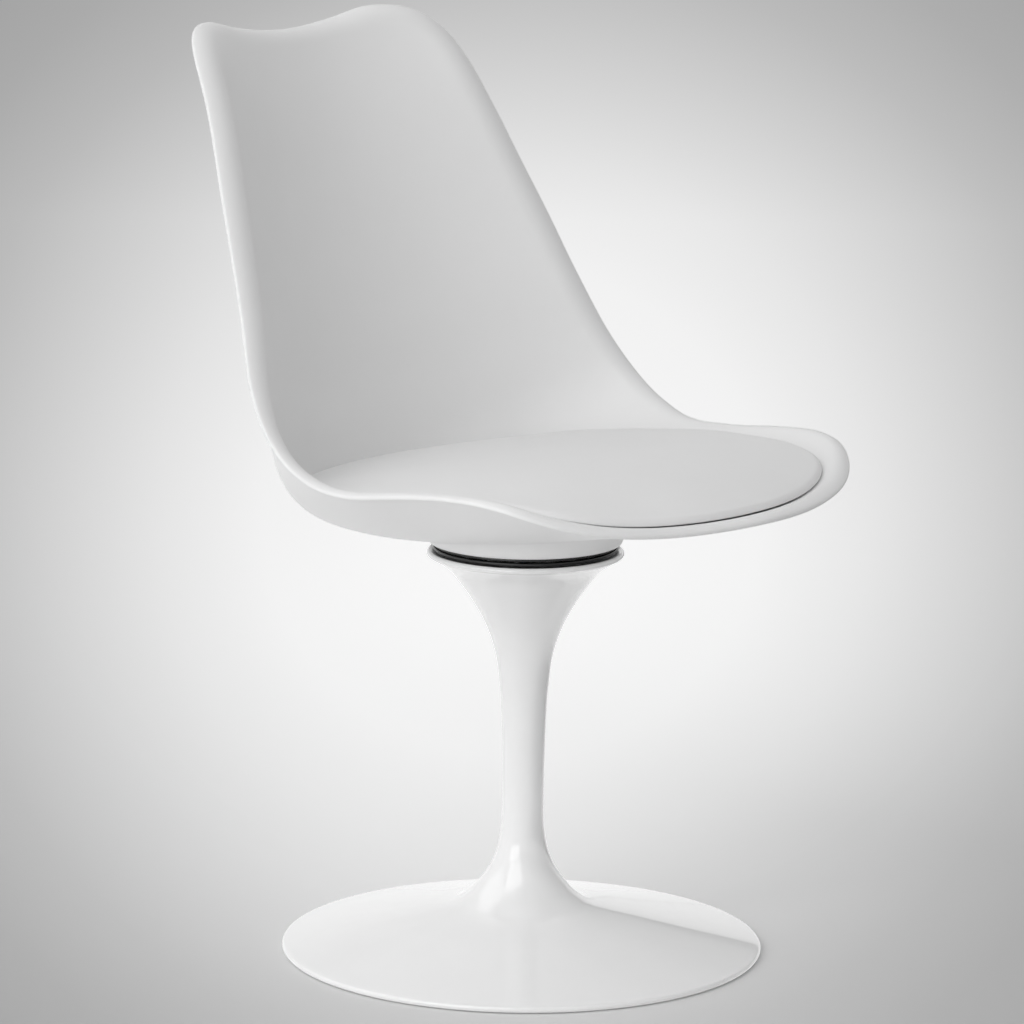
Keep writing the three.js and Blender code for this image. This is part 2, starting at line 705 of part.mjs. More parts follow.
function cushionCover() {
  const opening = panLayer(hemShare, 0, cushionGap + 2 * coverThickness)
  const lining = cushionBody(coverThickness, linedShares, hemShare)
  return cushionBody(0, topShares, hemShare).subtract(shellSpace).subtract(lining).subtract(opening)
}

// Hook-and-loop pads, which hold the cushion's board to the pan: hooks on the shell, loops on the board
const padThickness = (boardFoot - 2 * fitClearance) / 2
const loopFoot = boardFoot - fitClearance - padThickness

function gripPad(place, foot) {
  const rim = placesOnCircle(smallTurnSteps, padDiameter)
  return skin(rim.map(({ x, y }) => {
    const edge = { x: place.x + x, y: place.y + y }
    return [pointAbove(place, foot + padThickness), pointAbove(edge, foot + padThickness),
      pointAbove(edge, foot), pointAbove(place, foot)]
  }))
}

// Assembly, from the floor up

addPart('floor_ring', floorRing(), 'natural_nylon')
addPart('pedestal', pedestalSolid(), 'gloss_white_paint')
addPart('lower_swivel_plate', lowerPlate(), 'black_enamel')
addPart('swivel_pivot', pivotPin(), 'zinc_plated_steel')
addPart('pivot_washer', pivotWasher(), 'zinc_plated_steel')
addPart('pivot_nut', pivotNut(), 'zinc_plated_steel')
plateScrewPlaces.forEach((place, i) => {
  const screw = turned(screwOutline(lowerPlateTop, -1, plateScrewLength - fitClearance), smallTurnSteps, place)
  addPart(`plate_screw_${i + 1}`, screw, 'zinc_plated_steel')
})

const ballPlaces = placesOnCircle(ballCount, raceDiameter)
addPart('ball_cage', ballCage(ballPlaces), 'natural_nylon')
ballPlaces.forEach((place, i) => addPart(`race_ball_${i + 1}`, raceBall(place), 'bearing_steel'))

addPart('upper_swivel_plate', upperPlate(), 'black_enamel')
addPart('pivot_bush', pivotBush(), 'brass')
addPart('seat_shell', seatShell(), 'satin_white_plastic')
plateScrewPlaces.forEach((place, i) => {
  const screw = turned(screwOutline(upperPlateFoot, 1, shellScrewLength - fitClearance), smallTurnSteps, place)
  addPart(`shell_screw_${i + 1}`, screw, 'zinc_plated_steel')
  addPart(`shell_insert_${i + 1}`, shellInsert(place), 'brass')
})

addPart('cushion_board', cushionBoard(), 'grey_polypropylene')
addPart('cushion_foam', cushionFoam(), 'cream_foam')
addPart('cushion_cover', cushionCover(), 'pale_leatherette')
placesOnCircle(padCount, padCircleDiameter).forEach((place, i) => {
  addPart(`hook_pad_${i + 1}`, gripPad(place, 0).subtract(shellSpace), 'white_nylon_tape')
  addPart(`loop_pad_${i + 1}`, gripPad(place, loopFoot), 'white_nylon_tape')
})

chair.position.y = -axisLead

export default chair
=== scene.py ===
import bisect
import json
import math
import bmesh
import bpy
from mathutils import Euler, Matrix, Vector


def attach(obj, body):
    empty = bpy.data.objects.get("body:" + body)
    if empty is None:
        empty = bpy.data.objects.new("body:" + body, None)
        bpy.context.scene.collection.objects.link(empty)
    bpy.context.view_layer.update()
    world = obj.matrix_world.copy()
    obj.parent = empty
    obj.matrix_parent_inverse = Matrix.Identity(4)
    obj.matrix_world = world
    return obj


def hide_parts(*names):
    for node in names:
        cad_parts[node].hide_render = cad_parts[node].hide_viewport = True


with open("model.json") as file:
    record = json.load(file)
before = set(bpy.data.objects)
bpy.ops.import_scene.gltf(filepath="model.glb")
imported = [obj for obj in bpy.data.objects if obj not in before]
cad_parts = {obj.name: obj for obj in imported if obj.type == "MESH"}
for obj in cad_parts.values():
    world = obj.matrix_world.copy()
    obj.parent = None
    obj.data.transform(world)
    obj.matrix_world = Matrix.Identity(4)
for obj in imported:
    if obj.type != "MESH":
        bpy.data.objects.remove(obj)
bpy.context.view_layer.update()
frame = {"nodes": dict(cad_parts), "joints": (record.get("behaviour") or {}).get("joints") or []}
scene = bpy.context.scene
scene.view_settings.view_transform = "Standard"

# Camera: a long lens at the height of the chair's back, off the chair's right front corner. It looks a
# little down, and it leans a little, as the photograph's does.
sensor_width = 36
picture_pixels = 1024
focal_pixels = 5407
camera_place = (-3.5573, -2.9957, 1.3093)
camera_heading = math.radians(-49.85)
camera_tilt = math.radians(78.85)
camera_lean = math.radians(0.57)
camera_data = bpy.data.cameras.new("camera")
camera_data.sensor_width = sensor_width
camera_data.lens = sensor_width * focal_pixels / picture_pixels
camera = bpy.data.objects.new("camera", camera_data)
scene.collection.objects.link(camera)
camera_turn = (
    Euler((0, 0, camera_heading)).to_matrix()
    @ Euler((camera_tilt, 0, 0)).to_matrix()
    @ Euler((0, 0, camera_lean)).to_matrix())
camera.matrix_world = Matrix.Translation(camera_place) @ camera_turn.to_4x4()
scene.camera = camera


# Floor ring: a natural nylon glide ring, pressed into the groove under the casting's rim. It carries the
# casting 1 mm above the floor, so that neither scratches the other.
mm = 0.001
axis_depth = frame["joints"][0]["pos_m"][1]
turn_steps = 160
weld_distance = 0.001 * mm
ring_outer = 203.7 * mm
ring_width = 6.4 * mm
ring_height = 3 * mm
ring_edge = 0.4 * mm
cloud_size = 12 * mm
glow_depth = 2 * mm


def linear(code):
    """A colour written as a hex code, turned to the linear values that a shader takes."""
    channels = [int(code[i:i + 2], 16) / 255 for i in (0, 2, 4)]
    return [c / 12.92 if c <= 0.04045 else ((c + 0.055) / 1.055) ** 2.4 for c in channels] + [1]


def add_node(tree, kind, inputs=None, stops=(), **settings):
    """Adds a node. An input takes a value, or the socket of another node that it is linked to. The stops
    of a colour ramp are pairs of a place on the ramp and a hex code."""
    node = tree.nodes.new(kind)
    for name, value in settings.items():
        setattr(node, name, value)
    for name, value in (inputs or {}).items():
        if isinstance(value, bpy.types.NodeSocket):
            tree.links.new(value, node.inputs[name])
        else:
            node.inputs[name].default_value = value
    for _ in stops[2:]:
        node.color_ramp.elements.new(0.5)
    for i, (place_on_ramp, code) in enumerate(stops):
        node.color_ramp.elements[i].position = place_on_ramp
        node.color_ramp.elements[i].color = linear(code)
    return node


def new_material(name):
    material = bpy.data.materials.new(name)
    material.use_nodes = True
    material.node_tree.nodes.clear()
    return material, material.node_tree


def finish_with(tree, surface, bump=None):
    """Ends a material with its surface shader, and an optional bump on that shader."""
    if bump:
        tree.links.new(bump.outputs["Normal"], surface.inputs["Normal"])
    add_node(tree, "ShaderNodeOutputMaterial", {"Surface": surface.outputs[0]})


def place(name, mesh_data, material, body):
    """Makes a piece from a bmesh about the swivel's axis, smooth-shaded, that rides on a CAD body."""
    bmesh.ops.translate(mesh_data, verts=mesh_data.verts, vec=(0, axis_depth, 0))
    mesh = bpy.data.meshes.new(name)
    mesh_data.to_mesh(mesh)
    mesh_data.free()
    mesh.materials.append(material)
    mesh.shade_smooth()
    piece = bpy.data.objects.new(name, mesh)
    scene.collection.objects.link(piece)
    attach(piece, body)
    return piece


def spin_profile(mesh_data, profile):
    """Turns a ring's section, a closed row of (radius, height) pairs, about the swivel's axis."""
    verts = [mesh_data.verts.new((radius, 0, height)) for radius, height in profile]
    edges = [mesh_data.edges.new(pair) for pair in zip(verts, verts[1:] + verts[:1])]
    bmesh.ops.spin(
        mesh_data, geom=verts + edges, cent=(0, 0, 0), axis=(0, 0, 1), angle=2 * math.pi, steps=turn_steps,
        use_merge=True)
    bmesh.ops.remove_doubles(mesh_data, verts=mesh_data.verts, dist=weld_distance)
    bmesh.ops.recalc_face_normals(mesh_data, faces=mesh_data.faces)


# Natural nylon, injection-moulded: waxy cream, soft highlights, a faint cloudiness in the wall
nylon, tree = new_material("natural_nylon_moulded")
where = add_node(tree, "ShaderNodeTexCoord")
cloud = add_node(tree, "ShaderNodeTexNoise", {
    "Vector": where.outputs["Object"], "Scale": 1 / cloud_size, "Detail": 2})
tint = add_node(tree, "ShaderNodeMix", {
    "Factor": cloud.outputs["Fac"], 6: linear("E3DDCD"), 7: linear("EBE7DA")}, data_type="RGBA")
finish_with(tree, add_node(tree, "ShaderNodeBsdfPrincipled", {
    "Base Color": tint.outputs[2], "Roughness": 0.42, "IOR": 1.53,
    "Subsurface Weight": 0.15, "Subsurface Scale": glow_depth}))

ring_shape = bmesh.new()
spin_profile(ring_shape, [
    (ring_outer - ring_width, ring_edge), (ring_outer - ring_width + ring_edge, 0),
    (ring_outer - ring_edge, 0), (ring_outer, ring_edge),
    (ring_outer, ring_height), (ring_outer - ring_width, ring_height)])
floor_ring = place("glide_ring", ring_shape, nylon, "pedestal")
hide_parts("floor_ring")


# Pedestal: one hollow aluminium casting, a wide shallow base with a rolled rim, drawn up into a thin stem
# and out into a flared mouth with a bead round it. Ribs stiffen the base from below. The casting is ground
# smooth and powder-coated gloss white.
pedestal_height = 361 * mm
base_radius = 212.5 * mm
stem_radius = 18.5 * mm
flare_radius = 86.7 * mm
pedestal_wall = 5 * mm
stand_height = 1 * mm
flare_bead = 2.6 * mm
flare_bead_degrees = (-70, 126)
base_roll = 2.7 * mm
base_roll_degrees = (-90, 78)
curve_steps = 10
outline_steps = 120
slope_step = 0.001
web_thickness = 6 * mm
web_bore = 16 * mm
plate_recess = 0.5 * mm
plate_seat = pedestal_height - plate_recess
web_foot = plate_seat - web_thickness
groove_outer = 204 * mm
groove_inner = 197 * mm
groove_depth = 2 * mm
foot_inner = 193 * mm
rib_count = 8
rib_thickness = 4 * mm
rib_foot = 4 * mm
rib_reach = 200 * mm
rib_height = 60 * mm
rib_point_spacing = 6
peel_size = 6 * mm
peel_depth = 0.2 * mm
dust_size = 60 * mm
base_height_shares = [0.0197, 0.048, 0.0758, 0.1064, 0.1343, 0.1651, 0.2005, 0.236, 0.274, 0.3173, 0.366]
base_reach_shares = [0.972, 0.729, 0.4975, 0.258, 0.165, 0.109, 0.0605, 0.0295, 0.0115, 0.0025, 0]
flare_height_shares = [0.43, 0.5, 0.57, 0.626, 0.671, 0.7216, 0.7717, 0.8222, 0.8726, 0.915, 0.9535]
flare_reach_shares = [0.002, 0.008, 0.018, 0.031, 0.051, 0.081, 0.143, 0.2478, 0.396, 0.55, 0.72]


def between(near, far, leaving, arriving, share):
    """A smooth step from one value or point to another, with the slopes that it leaves and arrives with."""
    return ((2 * near - 2 * far + leaving + arriving) * share ** 3
            + (3 * far - 3 * near - 2 * leaving - arriving) * share ** 2 + leaving * share + near)


def spline(values, share):
    """A smooth curve through evenly spaced values, read at a share between 0 and 1."""
    last = len(values) - 1
    place_on_curve = last * min(max(share, 0), 1)
    i = min(int(place_on_curve), last)
    a, b, c, d = (values[min(max(i + k, 0), last)] for k in (-1, 0, 1, 2))
    return between(b, c, (c - a) / 2, (d - b) / 2, place_on_curve - i)


def arc(radius, height, size, from_degrees, to_degrees, steps=curve_steps):
    """Points of an arc in a profile, about a centre."""
    points = []
    for i in range(steps + 1):
        angle = math.radians(from_degrees + (to_degrees - from_degrees) * i / steps)
        points.append((radius + size * math.cos(angle), height + size * math.sin(angle)))
    return points


outline_radii = [stem_radius + (base_radius - stem_radius) * share for share in base_reach_shares]
outline_radii += [stem_radius + (flare_radius - stem_radius) * share for share in flare_reach_shares]
outline_radii += [flare_radius - flare_bead]
outline_heights = [pedestal_height * share for share in base_height_shares + flare_height_shares]
outline_heights += [pedestal_height - 2 * flare_bead]


def trumpet_outline(inset):
    """The trumpet's curve from base to flare, moved into the metal by an inset."""
    points = []
    for i in range(outline_steps + 1):
        share = i / outline_steps
        along = Vector([
            spline(values, share + slope_step) - spline(values, share - slope_step)
            for values in (outline_radii, outline_heights)]).normalized()
        points.append((
            spline(outline_radii, share) - along.y * inset,
            spline(outline_heights, share) + along.x * inset))
    return points


# Powder coat, gloss white: flat and hard, with a faint orange peel some 3 mm across and a tight highlight
white_coat, tree = new_material("gloss_white_powder_coat")
where = add_node(tree, "ShaderNodeTexCoord")
peel = add_node(tree, "ShaderNodeTexNoise", {
    "Vector": where.outputs["Object"], "Scale": 1 / peel_size, "Detail": 1})
dust = add_node(tree, "ShaderNodeTexNoise", {
    "Vector": where.outputs["Object"], "Scale": 1 / dust_size, "Detail": 4})
tint = add_node(tree, "ShaderNodeMix", {
    "Factor": dust.outputs["Fac"], 6: linear("F5F5F5"), 7: linear("FAFAFA")}, data_type="RGBA")
gloss = add_node(tree, "ShaderNodeMapRange", {
    "Value": dust.outputs["Fac"], "To Min": 0.1, "To Max": 0.16})
bump = add_node(tree, "ShaderNodeBump", {
    "Height": peel.outputs["Fac"], "Strength": 0.04, "Distance": peel_depth})
finish_with(tree, add_node(tree, "ShaderNodeBsdfPrincipled", {
    "Base Color": tint.outputs[2], "Roughness": gloss.outputs["Result"], "IOR": 1.5,
    "Coat Weight": 0.6, "Coat Roughness": 0.03}), bump)

inside = [point for point in trumpet_outline(pedestal_wall) if point[1] < web_foot]
inside = [point for point in inside if point[0] < foot_inner]
pedestal_shape = bmesh.new()
spin_profile(pedestal_shape, [
    *arc(base_radius - base_roll, stand_height + base_roll, base_roll, *base_roll_degrees),
    *trumpet_outline(0),
    *arc(flare_radius - flare_bead, pedestal_height - flare_bead, flare_bead, *flare_bead_degrees),
    (web_bore, plate_seat), (web_bore, web_foot),
    (inside[-1][0], web_foot), *reversed(inside),
    (foot_inner, stand_height), (groove_inner, stand_height), (groove_inner, stand_height + groove_depth),
    (groove_outer, stand_height + groove_depth), (groove_outer, stand_height)])
rib_top = [
    point for point in trumpet_outline(pedestal_wall / 2)[::rib_point_spacing]
    if stem_radius < point[0] < rib_reach and point[1] < rib_height]
rib_outline = [(stem_radius, rib_foot), (rib_top[0][0], rib_foot), *rib_top, (stem_radius, rib_top[-1][1])]
for i in range(rib_count):
    rib_turn = Matrix.Rotation(2 * math.pi * (i + 0.5) / rib_count, 3, "Z")
    rib_face = pedestal_shape.faces.new([
        pedestal_shape.verts.new(rib_turn @ Vector((radius, -rib_thickness / 2, height)))
        for radius, height in rib_outline])
    grown = bmesh.ops.extrude_face_region(pedestal_shape, geom=[rib_face])["geom"]
    bmesh.ops.translate(
        pedestal_shape, verts=[v for v in grown if isinstance(v, bmesh.types.BMVert)],
        vec=rib_turn @ Vector((0, rib_thickness, 0)))
bmesh.ops.recalc_face_normals(pedestal_shape, faces=pedestal_shape.faces)
pedestal = place("trumpet_pedestal", pedestal_shape, white_coat, "pedestal")
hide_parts("pedestal")


# Swivel plates: two pressed steel discs, enamelled gloss black, the lower one in the casting's mouth and
# the upper one under the shell, with a raceway groove in each where the balls run.
plate_radius = 81.5 * mm
lower_thickness = 4.3 * mm
upper_thickness = 3 * mm
race_gap = 1.2 * mm
race_radius = 64 * mm
race_arc = 2.9 * mm
plate_edge = 1 * mm
edge_steps = 5
lower_bore = 6.3 * mm
upper_bore = 8.3 * mm
lower_top = plate_seat + lower_thickness
upper_foot = lower_top + race_gap
shell_foot = upper_foot + upper_thickness
race_middle = lower_top + race_gap / 2
race_half = math.degrees(math.asin(race_gap / 2 / race_arc))
speck_size = 3 * mm
speck_depth = 0.1 * mm

# Enamel, gloss black, stoved on steel: deep, even, with sharp reflections and fine specks in the coat. The
# specks are drawn coarser than real ones, so that they show.
black_enamel, tree = new_material("gloss_black_enamel")
where = add_node(tree, "ShaderNodeTexCoord")
specks = add_node(tree, "ShaderNodeTexNoise", {
    "Vector": where.outputs["Object"], "Scale": 1 / speck_size, "Detail": 3})
tint = add_node(tree, "ShaderNodeMix", {
    "Factor": specks.outputs["Fac"], 6: linear("101010"), 7: linear("1B1B1C")}, data_type="RGBA")
bump = add_node(tree, "ShaderNodeBump", {
    "Height": specks.outputs["Fac"], "Strength": 0.08, "Distance": speck_depth})
finish_with(tree, add_node(tree, "ShaderNodeBsdfPrincipled", {
    "Base Color": tint.outputs[2], "Roughness": 0.22, "IOR": 1.52}), bump)

for name, node, body, profile in [
    ("lower_plate", "lower_swivel_plate", "pedestal", [
        (lower_bore, plate_seat), (plate_radius, plate_seat),
        *arc(plate_radius - plate_edge, lower_top - plate_edge, plate_edge, 0, 90, edge_steps),
        *arc(race_radius, race_middle, race_arc, -race_half, race_half - 180),
        (lower_bore, lower_top)]),
    ("upper_plate", "upper_swivel_plate", "seat", [
        (upper_bore, upper_foot),
        *arc(race_radius, race_middle, race_arc, 180 - race_half, race_half),
        *arc(plate_radius - plate_edge, upper_foot + plate_edge, plate_edge, -90, 0, edge_steps),
        (plate_radius, shell_foot), (upper_bore, shell_foot)]),
]:
    plate_shape = bmesh.new()
    spin_profile(plate_shape, profile)
    plate = place(name, plate_shape, black_enamel, body)
    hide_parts(node)


# Seat shell: one piece of glass-filled polypropylene, moulded with forward wings, a saddle-shaped top edge
# and a rim rolled over outwards. A round skirt under it hides the swivel. The mould leaves a satin face.
shell_height = 443 * mm
half_depth = 284 * mm
half_width = 251 * mm
shell_wall = 4.5 * mm
centre_depth_shares = [-0.936, -0.76, -0.507, -0.175, 0.174, 0.49, 0.666, 0.713, 0.754, 0.82, 0.9, 0.985]
centre_height_shares = [0.139, 0.106, 0.075, 0.038, 0.021, 0.033, 0.098, 0.225, 0.402, 0.602, 0.791, 0.961]
guide_depth_shares = [
    -0.813, -0.713, -0.527, -0.236, 0.008, 0.172, 0.294, 0.386, 0.487, 0.609, 0.744, 0.905]
guide_height_shares = [0.174, 0.188, 0.195, 0.187, 0.167, 0.19, 0.246, 0.33, 0.476, 0.658, 0.865, 1.047]
guide_width_shares = [0.838, 0.862, 0.869, 0.854, 0.9, 0.915, 0.894, 0.842, 0.756, 0.677, 0.612, 0.575]
section_powers = [1.97, 2.38, 2.72, 3, 3.3, 3.05, 2.5, 2.13, 2, 1.95, 2, 2.1]
rim_across_shares = [
    0, 0.224, 0.441, 0.667, 0.829, 0.943, 0.986, 0.986, 0.98, 0.997, 1,
    1, 1, 1, 1, 1, 0.974, 0.914, 0.704, 0.423, 0.2, 0]
rim_station_shares = [
    0.032, 0.043, 0.059, 0.08, 0.107, 0.144, 0.184, 0.23, 0.277, 0.341, 0.415,
    0.49, 0.564, 0.636, 0.709, 0.787, 0.872, 0.943, 0.972, 0.977, 0.979, 0.98]
rim_half = len(rim_across_shares) - 1
front_corner = 4
top_corner = 17
shell_corners = (front_corner, top_corner, 2 * rim_half)
shell_columns = 72
shell_rows = 132
grid_edge = 1e-6
rim_step = 0.2
roll_radii = [22 * mm, 13.5 * mm, 15.5 * mm, 28 * mm, 18 * mm]
roll_degrees = [45, 65, 74, 65, 60]
roll_steps = 12
bead_steps = 6
rim_rings = 2 * roll_steps + bead_steps
shell_weld = 0.01 * mm
skirt_radius = 84.8 * mm
skirt_wall = 6.8 * mm
skirt_lean = math.radians(20)
skirt_reach = 15 * mm
skirt_land = skirt_radius + skirt_reach
skirt_sink_share = 0.72
skirt_sink = skirt_sink_share * shell_wall
skirt_pull_share = 1.1
skirt_rows = 12
skirt_steps = 120
land_step = 2 * mm
seat_end = 0.62
halvings = 26
spark_grain = 1.5 * mm
spark_depth = 0.1 * mm
flow_size = 90 * mm


def surface_point(across, station):
    """The shell's inner face at a distance from the centre plane, and a station from front to top."""
    width = spline(guide_width_shares, station) * half_width
    rise = (abs(across) / width) ** spline(section_powers, station)
    centre_y = spline(centre_depth_shares, station) * half_depth
    centre_z = spline(centre_height_shares, station) * shell_height
    guide_y = spline(guide_depth_shares, station) * half_depth
    guide_z = spline(guide_height_shares, station) * shell_height
    return Vector((
        across,
        centre_y + (guide_y - centre_y) * rise,
        shell_foot + centre_z + (guide_z - centre_z) * rise))


def surface_normal(across, station):
    side_step = slope_step * half_width
    sideways = surface_point(across + side_step, station) - surface_point(across - side_step, station)
    upwards = surface_point(across, station + slope_step) - surface_point(across, station - slope_step)
    return sideways.cross(upwards).normalized()


def raised_point(across, station, lift):
    return surface_point(across, station) + lift * surface_normal(across, station)


def across_at(share, station):
    """A share of the shell's half width at a station, as a distance from the centre plane."""
    return share * spline(guide_width_shares, station) * half_width


def shell_point(place_in_outline, lift):
    share, station = place_in_outline
    return raised_point(across_at(share, station), station, lift)


def surface_above(x, y, lift):
    """The point above a place in the seat, found by halving the stations between the front and the back."""
    low, high = 0, seat_end
    for _ in range(halvings):
        middle = (low + high) / 2
        if surface_point(x, middle).y < y:
            low = middle
        else:
            high = middle
    return raised_point(x, low, lift)


def loop_place(across_shares, station_shares, turn):
    """A place on a closed outline, given by its right half, as a share across and a station."""
    places = list(zip(across_shares, station_shares))
    places += [(-across, station) for across, station in reversed(places[1:-1])]
    i = math.floor(turn)
    a, b, c, d = (Vector(places[(i + k) % len(places)]) for k in (-1, 0, 1, 2))
    return between(b, c, (c - a) / 2, (d - b) / 2, turn - i)


def rim_outline(turn):
    return loop_place(rim_across_shares, rim_station_shares, turn)


def patch_place(outline_at, corners, u, v):
    """A place inside an outline: a grid stretched over it with its four corners on the outline."""
    front, top, whole = corners
    side = 2 * u - 1
    near = outline_at(front * side)
    far = outline_at(whole / 2 - (whole / 2 - top) * side)
    right = outline_at(front + (top - front) * v)
    left = Vector((-right.x, right.y))
    low = outline_at(front)
    high = outline_at(top)
    corner_mix = Vector((low.x * side, low.y)) * (1 - v) + Vector((high.x * side, high.y)) * v
    return near * (1 - v) + far * v + left * (1 - u) + right * u - corner_mix


def rim_turn(u, v, corners):
    """The place along the outline of a point on the grid's own edge."""
    front, top, whole = corners
    if v < grid_edge:
        return front * (2 * u - 1)
    if v > 1 - grid_edge:
        return whole / 2 - (whole / 2 - top) * (2 * u - 1)
    along = front + (top - front) * v
    return along if u > 0.5 else -along


def stretched_grid(mesh_data, outline_at, corners, columns, rows, point_at):
    """Adds a grid over an outline, whose points are then placed by their two coordinates in it. Each point
    on the grid's edge keeps its place along the outline."""
    along = mesh_data.verts.layers.float.get("along") or mesh_data.verts.layers.float.new("along")
    for vert in bmesh.ops.create_grid(mesh_data, x_segments=columns, y_segments=rows, size=1)["verts"]:
        u, v = (vert.co.x + 1) / 2, (vert.co.y + 1) / 2
        vert[along] = rim_turn(u, v, corners)
        vert.co = point_at(patch_place(outline_at, corners, u, v))


def draw_out(mesh_data, edges, layer, point_at):
    """Extrudes a row of edges, and puts each new vertex where the mark that it keeps in a layer says."""
    grown = bmesh.ops.extrude_edge_only(mesh_data, edges=edges)["geom"]
    for vert in (v for v in grown if isinstance(v, bmesh.types.BMVert)):
        vert.co = point_at(vert[layer])
    return [e for e in grown if isinstance(e, bmesh.types.BMEdge) and e.is_boundary]


def rim_section(turn):
    """The rim's section at a place along the outline: over the roll, round its bead and back underneath."""
    share, station = rim_outline(turn)
    across = across_at(share, station)
    point = surface_point(across, station)
    normal = surface_normal(across, station)
    along = shell_point(rim_outline(turn + rim_step), 0) - shell_point(rim_outline(turn - rim_step), 0)
    outward = along.cross(normal).normalized()
    way = min(turn % (2 * rim_half), -turn % (2 * rim_half)) / rim_half
    radius = spline(roll_radii, way)
    roll = math.radians(spline(roll_degrees, way))

    def rolled(turned, depth):
        angle = roll * turned
        return (point + (radius - depth) * math.sin(angle) * outward
                + ((radius - depth) * math.cos(angle) - radius) * normal)

    def beaded(turned):
        reach = radius - shell_wall / 2 * (1 - math.cos(math.pi * turned))
        past = shell_wall / 2 * math.sin(math.pi * turned)
        return (point + (reach * math.sin(roll) + past * math.cos(roll)) * outward
                + (reach * math.cos(roll) - past * math.sin(roll) - radius) * normal)

    return [
        *(rolled(k / roll_steps, 0) for k in range(1, roll_steps + 1)),
        *(beaded(k / bead_steps) for k in range(1, bead_steps)),
        *(rolled(k / roll_steps, shell_wall) for k in range(roll_steps, -1, -1))]


def skirt_section(angle):
    """The skirt's section at an angle round the axis: up its flared face, and down its inner face."""
    out = Vector((math.cos(angle), math.sin(angle), 0))
    land = surface_above(*(out * skirt_land).xy, -skirt_sink)
    past = surface_above(*(out * (skirt_land + land_step)).xy, -skirt_sink)
    foot = out * skirt_radius + Vector((0, 0, shell_foot))
    pull = (land - foot).length * skirt_pull_share
    leaving = (out * math.sin(skirt_lean) + Vector((0, 0, math.cos(skirt_lean)))) * pull
    arriving = (past - land).normalized() * pull
    inner = out * (skirt_radius - skirt_wall)
    return [
        *(between(foot, land, leaving, arriving, k / skirt_rows) for k in range(skirt_rows + 1)),
        surface_above(*inner.xy, -shell_wall / 2), inner + Vector((0, 0, shell_foot))]


# Polypropylene, moulded against a sparked tool: satin white, a broad soft sheen, a grain that only shows
# where the light grazes it. The grain is drawn at 1.5 mm, because the real one is too fine to show.
satin_plastic, tree = new_material("satin_white_moulded_plastic")
where = add_node(tree, "ShaderNodeTexCoord")
grain = add_node(tree, "ShaderNodeTexNoise", {
    "Vector": where.outputs["Object"], "Scale": 1 / spark_grain, "Detail": 3})
flow = add_node(tree, "ShaderNodeTexNoise", {
    "Vector": where.outputs["Object"], "Scale": 1 / flow_size, "Detail": 3})
tint = add_node(tree, "ShaderNodeMix", {
    "Factor": flow.outputs["Fac"], 6: linear("EEEEEE"), 7: linear("F2F2F2")}, data_type="RGBA")
sheen = add_node(tree, "ShaderNodeMapRange", {
    "Value": flow.outputs["Fac"], "To Min": 0.4, "To Max": 0.5})
bump = add_node(tree, "ShaderNodeBump", {
    "Height": grain.outputs["Fac"], "Strength": 0.1, "Distance": spark_depth})
finish_with(tree, add_node(tree, "ShaderNodeBsdfPrincipled", {
    "Base Color": tint.outputs[2], "Roughness": sheen.outputs["Result"], "IOR": 1.49}), bump)

shell_shape = bmesh.new()
row = shell_shape.verts.layers.int.new("row")
stretched_grid(shell_shape, rim_outline, shell_corners, shell_columns, shell_rows,
               lambda place_in_rim: shell_point(place_in_rim, 0))
along = shell_shape.verts.layers.float["along"]
open_edges = [edge for edge in shell_shape.edges if edge.is_boundary]
rim_sections = {vert[along]: rim_section(vert[along]) for edge in open_edges for vert in edge.verts}
for k in range(rim_rings):
    open_edges = draw_out(shell_shape, open_edges, along, lambda turn: rim_sections[turn][k])
stretched_grid(shell_shape, rim_outline, shell_corners, shell_columns, shell_rows,
               lambda place_in_rim: shell_point(place_in_rim, -shell_wall))

# The skirt is part of the moulding. Its flare runs out into the shell's underside all round.
first_column = [shell_shape.verts.new(point) for point in skirt_section(0)]
for k, vert in enumerate(first_column):
    vert[row] = k
column = [shell_shape.edges.new(pair) for pair in zip(first_column, first_column[1:] + first_column[:1])]
for i in range(1, skirt_steps + 1):
    section = skirt_section(2 * math.pi * i / skirt_steps)
    column = draw_out(shell_shape, column, row, lambda k: section[k])
bmesh.ops.remove_doubles(shell_shape, verts=shell_shape.verts, dist=shell_weld)
bmesh.ops.recalc_face_normals(shell_shape, faces=shell_shape.faces)
shell = place("moulded_shell", shell_shape, satin_plastic, "seat")
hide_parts("seat_shell")


# Seat cushion: a pale leatherette cover drawn in under a moulded board, over a foam block that the cover
# presses into a low crown. It lies in the seat pan and is lifted out for cleaning.
cushion_across_shares = [
    0, 0.25, 0.47, 0.68, 0.82, 0.9, 0.935, 0.955, 0.955, 0.92, 0.855, 0.77, 0.66, 0.48, 0.25, 0]
cushion_station_shares = [
    0.045, 0.048, 0.063, 0.09, 0.128, 0.185, 0.24, 0.3, 0.355, 0.408, 0.452, 0.482, 0.502, 0.525, 0.54,
    0.545]
cushion_turn = 2 * (len(cushion_across_shares) - 1)
cushion_front_corner = 4
cushion_back_corner = 11
cushion_corners = (cushion_front_corner, cushion_back_corner, cushion_turn)
cushion_gap = 2.1 * mm
edge_gap = 0.9 * mm
cushion_edge_rise = 5 * mm
crown_depth_share = -0.3
crown_height = 86 * mm
crown_point = Vector((0, crown_depth_share * half_depth, shell_foot + crown_height))
crown_power = 2.2
edge_roll_share = 0.965
edge_roll_rings = 6
drawn_under_share = 0.93
cushion_pole = 0.3
cushion_columns = 64
cushion_rows = 60
cushion_weld = 0.05 * mm
points_per_turn = 8
free_share = 0.7
tight_share = 0.93
cover_pressure = 4
cloth_frames = 20
swell_cap = 4 * mm
pebble_size = 1.6 * mm
pebble_depth = 0.12 * mm
patch_size = 70 * mm

